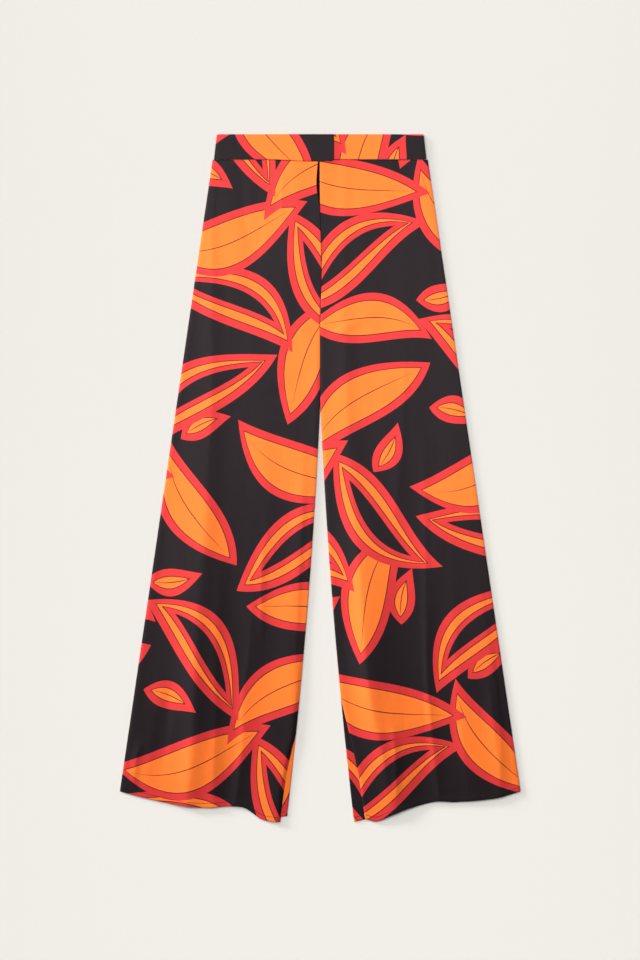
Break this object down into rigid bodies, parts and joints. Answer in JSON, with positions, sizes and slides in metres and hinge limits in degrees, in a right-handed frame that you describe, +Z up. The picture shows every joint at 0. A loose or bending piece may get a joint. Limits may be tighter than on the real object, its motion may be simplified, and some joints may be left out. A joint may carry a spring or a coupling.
{
  "type": "palazzo pants",
  "caption": "High-waisted wide-leg palazzo pants in printed satin, laid flat on their back, with a plain waistband, an overlap tab and a fly.",
  "frame": {"origin": "on the floor, under the middle of the pants' outline: halfway between the outer hem corners and halfway between the waistband's top edge and the lowest point of the hems", "axes": "+X across, towards the wearer's left leg; +Y up the pants, from the hems to the waistband; +Z up from the floor, out of the front"},
  "size_m": [0.641, 1.1, 0.0118],
  "materials": {
    "leg_satin": "printed satin",
    "waistband_satin": "printed satin, two layers",
    "underlap_satin": "printed satin, black ground",
    "zip_tape": "woven tape with a nylon coil"
  },
  "bodies": {
    "root": {"front_right": "leg_satin", "front_left": "leg_satin", "back_right": "leg_satin", "back_left": "leg_satin", "waistband_front_right": "waistband_satin", "waistband_front_left": "waistband_satin", "waistband_back": "waistband_satin", "fly_underlap": "underlap_satin", "zip": "zip_tape"}
  },
  "joints": []
}
